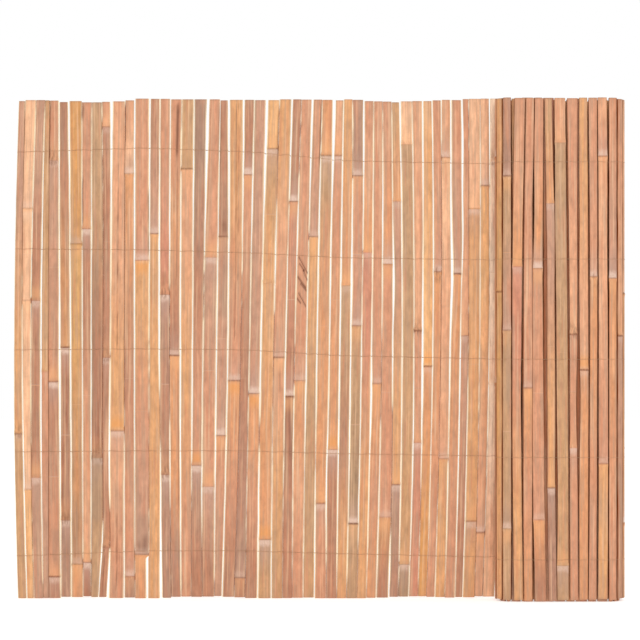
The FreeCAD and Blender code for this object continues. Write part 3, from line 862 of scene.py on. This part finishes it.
STAINS = {
    3: ((560, 700, -0.95, 0.12, 0.6),),
    5: ((880, 1004, -0.92, 0.14, 0.75),),
    8: ((960, 1004, -0.8, 0.2, 0.6), (750, 860, -0.85, 0.16, 0.7)),
    9: ((20, 700, -0.95, 0.12, 0.45),),
    10: ((10, 95, -0.2, 0.12, 0.5),),
    11: ((470, 880, 0.05, 0.06, 0.75), (20, 180, 0, 0.05, 0.6)),
    12: ((910, 1006, -0.95, 0.16, 0.85), (870, 892, 0.2, 0.3, 0.6)),
    13: ((690, 830, 0.95, 0.1, 0.75), (92, 130, 0.4, 0.4, 0.45), (92, 118, -0.4, 0.3, 0.35)),
    15: ((630, 660, 0, 0.45, 0.5),),
    16: ((885, 1004, 0.3, 0.26, 0.85), (640, 880, 0.35, 0.08, 0.5), (180, 470, 0.75, 0.12, 0.45)),
    19: ((880, 1000, 0.9, 0.1, 0.5),),
    20: ((735, 770, 0.1, 0.6, 0.4), (800, 1000, -0.85, 0.12, 0.45)),
    21: ((520, 1004, 0, 0.06, 0.5), (640, 1004, 0.3, 0.06, 0.5)),
    24: ((880, 1000, 0.9, 0.12, 0.5),),
    25: ((415, 470, 0.2, 0.3, 0.35),),
    28: ((870, 1004, 0.8, 0.14, 0.75),),
}
GREYS = {
    3: ((100, 240, 0, 0.9, 0.35),),
    5: ((60, 150, 0.3, 0.8, 0.7), (470, 690, 0.4, 0.6, 0.5)),
    6: ((40, 130, 0.2, 0.8, 0.6), (880, 1004, -0.2, 0.8, 0.5)),
    7: ((85, 190, -0.2, 0.8, 0.6), (690, 740, -0.5, 0.5, 0.5)),
    9: ((150, 300, 0, 0.9, 0.7), (320, 700, -0.4, 0.6, 0.45)),
    13: ((85, 170, 0.3, 0.8, 0.7),),
    18: ((880, 1004, 0, 1, 0.7), (660, 880, -0.5, 0.6, 0.4)),
    20: ((560, 800, 0.2, 0.8, 0.5),),
    22: ((400, 700, 0.5, 0.6, 0.4),),
    37: ((0, 66, 0, 0.9, 0.4),),
}
SCRATCHES = {
    27: ((690, 658, -0.7, 0.9), (676, 662, -0.5, 0.3), (650, 628, -0.8, 0.7), (636, 622, -0.2, 0.8),
         (618, 590, -0.6, 0.8), (606, 596, -0.8, -0.1), (664, 644, 0.1, 0.9)),
}
print("slats with notes", len({*EDGE_NOTES, *GAP_NOTES, *STAINS, *GREYS, *SCRATCHES}))

# %% [markdown]
# ## Building the flat slats
# All edges come first, because neighbours share a gap. Scratched slats have their stations close together.

# %% Flat slats
SPACING, FINE_SPACING, SPARSE_SPACING = 13 * MM, 2 * MM, 60 * MM  # between stations
FLAT_LOOSENESS = 1.0
FLAT_CLOSING = (0.3, 0.15, 0.2)


def finish_slats(piece, node_name):
    piece.data.materials.append(skin_material)
    piece.data.materials.append(split_material)
    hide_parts(node_name)
    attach(piece, "root")


flat_edges = [slat_edges(slat, number, FLAT_LOOSENESS, EDGE_NOTES.get(number, ()), SPLINTERS.get(number, 0))
              for number, slat in enumerate(flat_slats, 1)]
flat_edges = settle_gaps(note_gaps(flat_edges, GAP_NOTES), FLAT_CLOSING)
flat_faces = 0
for number, (name, slat, edges, letters, looks) in enumerate(
        zip(flat_names, flat_slats, flat_edges, FLAT_TONES, NODE_LOOKS), 1):
    stains, greys, scratches = (notes.get(number, ()) for notes in (STAINS, GREYS, SCRATCHES))
    grid = slat_grid(slat, edges, number, letters, FINE_SPACING if scratches else SPACING, looks,
                     stains, greys, scratches)
    piece = slats_object("bamboo_" + name, [grid])
    finish_slats(piece, name)
    flat_faces += len(piece.data.polygons)
print("flat slats", len(flat_slats), "faces", flat_faces)

# %% [markdown]
# ## The roll
# The roll's front is the same mat, so its slats take the tones and node looks of the flat mat's right part.
# Slats inside the roll are hardly seen and have fewer stations, but they are real slats with the same
# section, because they show through the gaps and from above. Edge notes count the slats that are seen from
# the left: two of the left bend, the front, then the right bend.

# %% Roll slats
ROLL_NOTES = {
    1: ((400, 0, 0.8, 900),),
    2: ((400, -0.8, 1.5, 450),),
    3: ((400, 0, -1, 70),),
    4: ((780, 0, -2.2, 80), (60, 0, -0.9, 150)),
    5: ((780, 2.2, 0, 80), (60, 0.9, 0, 150), (640, 0, -1.9, 230)),
    6: ((640, 1.8, 0, 230), (748, 0, 2, 90), (225, 0, -1.6, 110)),
    7: ((748, -1.2, 0, 90), (225, 1.6, 0, 110)),
    8: ((650, 0, 0.6, 70), (400, 0, -1.9, 75), (190, 0, 0.7, 90)),
    9: ((650, -0.6, 0, 70), (400, 1.9, 0.5, 75), (190, -0.7, 0, 90)),
    10: ((370, -0.5, 0, 80),),
    11: ((500, 0, 1.4, 2000), (0, 0, 1, 250), (680, 0, -1, 110)),
    12: ((500, -1, 0, 2000),),
}
# The tones of slats 46 and 45 carry their painted light on to the roll's right bend
RIGHT_TONES = [FLAT_TONES[number - 1] for number in (46, 45, 45, 44, 43, 42)]
LEFT_TONES = "m|kg|kk|k hy|yh p|so|b o|koo|ss sg|hkt".split()
# Inner slats get warm dark tones: painted shade for the inside of the roll
INNER_TONES = "swwwwwws owwwwwwo hwwwwwwg rwwwwwws".split()
BACK_TONES = "sg|h|o ob|os p|hs|m rb|s g|so|h sb|o h|po|s ss|k".split()
FRONT_LOOKS = NODE_LOOKS[33 - 1:41]  # of flat slats 33 to 41
FRONT_CLOSING = (0.05, 0.05, 0.05)
FRONT_LOOSENESS, BEND_LOOSENESS = 1.2, 0.3
OUTER_SEED, FRONT_SEED, LEFT_SEED, BACK_SEED, INNER_SEED = 101, 131, 151, 201, 301
BACK_NODES = ((0.21, 0.37, 0.618), (0.62, 0.31, 0.382))  # lowest height, range and step per slat


def noted_edges(slats, seed, looseness, numbers):
    """Edges of slats in a row, with the notes that stand by their numbers."""
    return [slat_edges(slat, seed + k, looseness, ROLL_NOTES.get(number, ()))
            for k, (slat, number) in enumerate(zip(slats, numbers))]


for k, slat in enumerate(roll_slats["roll_back_slats"]):
    slat["nodes"] = np.array([low + reach * (step * k % 1) for low, reach, step in BACK_NODES])
outer_edges = noted_edges(right_bend, OUTER_SEED, BEND_LOOSENESS, range(17, 0, -1))
outer_edges += settle_gaps(noted_edges(front, FRONT_SEED, FRONT_LOOSENESS, range(3, 12)), FRONT_CLOSING)
outer_edges += noted_edges(left_bend, LEFT_SEED, BEND_LOOSENESS, range(2, -9, -1))
outer_tones = RIGHT_TONES + FRONT_TONES + LEFT_TONES
outer_looks = [""] * len(right_bend) + FRONT_LOOKS + [""] * len(left_bend)
outer_turn = zip(right_bend + front + left_bend, outer_edges, outer_tones, outer_looks)
outer_grids = [slat_grid(slat, without_light(edges[:2]), OUTER_SEED + k, letters, SPACING, looks)
               for k, (slat, edges, letters, looks) in enumerate(outer_turn)]
outer_piece = slats_object("bamboo_roll_outer", outer_grids)
finish_slats(outer_piece, "roll_outer_slats")
for part, tones, seed in (("back", BACK_TONES, BACK_SEED), ("inner", INNER_TONES, INNER_SEED)):
    name = "roll_%s_slats" % part
    grids = [slat_grid(slat, without_light(slat_edges(slat, seed + k, 0.0)), seed + k,
                       tones[k % len(tones)], SPARSE_SPACING) for k, slat in enumerate(roll_slats[name])]
    piece = slats_object("bamboo_roll_" + part, grids)
    finish_slats(piece, name)
    print(name, len(grids), "faces", len(piece.data.polygons))
print("outer turn", len(outer_grids), "faces", len(outer_piece.data.polygons))

# %% [markdown]
# ## Binding wires
# Two thin strands run along each row. One passes in front of a slat while the other passes behind it, and
# they change places in the gap, so every slat is held. Where slats stand too close for two strands, they
# stay on their side. A strand is a tube along a path: five points over each slat, a crossing point in each
# gap, and two rounds of corner cutting that make the path smooth. Over each slat it slants a little.

# %% Wires
WIRE_ROWS = 5
STRAND_RADIUS = 0.36 * MM
STRAND_SIDES = 5
CROSSING_ROOM = 1.1 * MM
CROSSING_RISE = 0.45 * MM
STRAND_SLANT, SLANT_STEP = 0.9 * MM, 2.4  # the step per slat, in radians
STRAND_SHARES = np.array((-1.0, -0.55, 0.0, 0.55, 1.0))
IN_FRONT = np.array((2.05, 3.0, 3.25, 3.0, 2.05)) * MM
BEHIND = -3.25 * MM
ROUND_FIRST = 0.6 * MM  # strands meet this far left of the first slat
FLAT_MAT_Y, FLAT_MAT_END = 0.028, 0.34  # the flat mat is behind this y, and rows run level beyond this x

inner = roll_slats["roll_inner_slats"]
inner_back = sorted(straight_of(inner, 1), key=lambda slat: -slat["middle"])
half_back = len(inner_back) // 2  # in each layer
roll_order = right_bend + front[::-1] + left_bend
roll_order += sorted(inner_back[:half_back], key=by_x) + bend_of(inner, 1)
roll_order += straight_of(inner, -1)[::-1] + bend_of(inner, -1)
roll_order += sorted(inner_back[half_back:], key=by_x)
winding = [(slat, 1.0) for slat in flat_slats + sorted(roll_slats["roll_back_slats"], key=by_x)]
winding += [(slat, -1.0) for slat in roll_order]


def row_height(name, x):
    """Height of a wire row over the flat mat: the mean of the CAD wire's points at each place."""
    points = weld(nodes[name])[0]
    flat = points[points[:, 1] > FLAT_MAT_Y]
    places, index = np.unique(np.round(flat[:, 0], 4), return_inverse=True)
    return np.interp(x, places, np.bincount(index, flat[:, 2]) / np.bincount(index))


def strand_path(name, first_side):
    """Points of one strand: over or behind each slat in winding order, changing sides in the wide gaps."""
    path, side, last_end = [], first_side, None
    for number, (slat, travel) in enumerate(winding):
        height = row_height(name, min(by_x(slat), FLAT_MAT_END) if travel > 0 else FLAT_MAT_END)
        left, right = (through_levels(slat, edge, height) for edge in ("left", "right"))
        along = (left + right) / 2 + (right - left) / 2 * STRAND_SHARES * travel
        start = along[0] * slat["across"] + slat["middle"] * slat["outward"]
        if last_end is not None and np.linalg.norm(start - last_end) > CROSSING_ROOM:
            path.append((*(start + last_end) / 2, height + CROSSING_RISE * side))
            side = -side
        out = np.where(side * travel > 0, IN_FRONT, BEHIND)
        place = along[:, None] * slat["across"] + (slat["middle"] + out)[:, None] * slat["outward"]
        slant = STRAND_SLANT * math.sin(SLANT_STEP * number)
        path += [(*point, height + slant * share * travel) for point, share in zip(place, STRAND_SHARES)]
        last_end = along[-1] * slat["across"] + slat["middle"] * slat["outward"]
    first_x, _, first_z = path[0]
    path.insert(0, (first_x - ROUND_FIRST, flat_slats[0]["middle"] * flat_slats[0]["outward"][1], first_z))
    return np.array(path)


def cut_corners(path):
    """Each stretch keeps its middle half, so corners become short chamfers; the two ends stay."""
    inside = np.stack((0.75 * path[:-1] + 0.25 * path[1:], 0.25 * path[:-1] + 0.75 * path[1:]), axis=1)
    return np.concatenate((path[:1], inside.reshape(-1, 3), path[-1:]))


def unit(vectors):
    return vectors / np.linalg.norm(vectors, axis=1)[:, None]


def tube(path):
    """Rings of a tube: a circle across the path's direction, turned so that one axis stays upright."""
    direction = unit(np.gradient(path, axis=0))
    side = unit(np.cross(direction, (0.0, 0.0, 1.0)))
    up = np.cross(side, direction)
    turn = np.linspace(0, 2 * math.pi, STRAND_SIDES, endpoint=False)
    ring = np.cos(turn)[:, None] * side[:, None] + np.sin(turn)[:, None] * up[:, None]
    return path[:, None] + STRAND_RADIUS * ring


wire_faces = 0
for row in range(1, WIRE_ROWS + 1):
    name = "wire_row_%d" % row
    strands = [tube(cut_corners(cut_corners(strand_path(name, first_side)))) for first_side in (1.0, -1.0)]
    piece = closed_tubes(name + "_strands", strands)[0]
    piece.data.shade_smooth()
    piece.data.materials.append(wire_material)
    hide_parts(name)
    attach(piece, "root")
    wire_faces += len(piece.data.polygons)
print("wire rows", WIRE_ROWS, "faces", wire_faces)

# %% [markdown]
# ## Stage and light
# The photograph is a cut-out on white with very even light. A white floor, a white surrounding that lights
# from all sides and one wide soft lamp from the front give that, with just enough direction to show the
# round of the slats.

# %% Stage and light
scene.view_settings.view_transform = "Standard"
floor_mesh = bpy.data.meshes.new("floor")
floor_mesh.from_pydata([(-9, -7, 0), (9, -7, 0), (9, 9, 0), (-9, 9, 0)], [], [(0, 1, 2, 3)])
floor = add_object("floor", floor_mesh)
floor_material, _, floor_shader = new_material("pale_floor", FLOOR_SPECULAR)
for label, value in (("Base Color", (0.95, 0.95, 0.95, 1.0)), ("Roughness", 0.9),
                     ("Emission Color", (1.0, 1.0, 1.0, 1.0)), ("Emission Strength", 0.5)):
    floor_shader.inputs[label].default_value = value
floor_mesh.materials.append(floor_material)

world = bpy.data.worlds.new("white surrounding")
world.use_nodes = True
scene.world = world
backdrop = world.node_tree.nodes["Background"]
backdrop.inputs["Color"].default_value = (1.0, 1.0, 1.0, 1.0)
seen = world.node_tree.nodes.new("ShaderNodeLightPath").outputs["Is Camera Ray"]
feed(ramp(seen, 0.0, 1.0, 0.66, 1.0), backdrop.inputs["Strength"])

lamp_data = bpy.data.lights.new("soft lamp", "AREA")
lamp_data.shape = "RECTANGLE"
lamp_data.size = 2.6
lamp_data.size_y = 2.0
lamp_data.energy = 37.0
lamp = add_object("soft lamp", lamp_data)
lamp.location = (0.25, -3.6, 1.7)
lamp.rotation_euler = (math.radians(72), 0.0, math.radians(4))
print("stage ready")
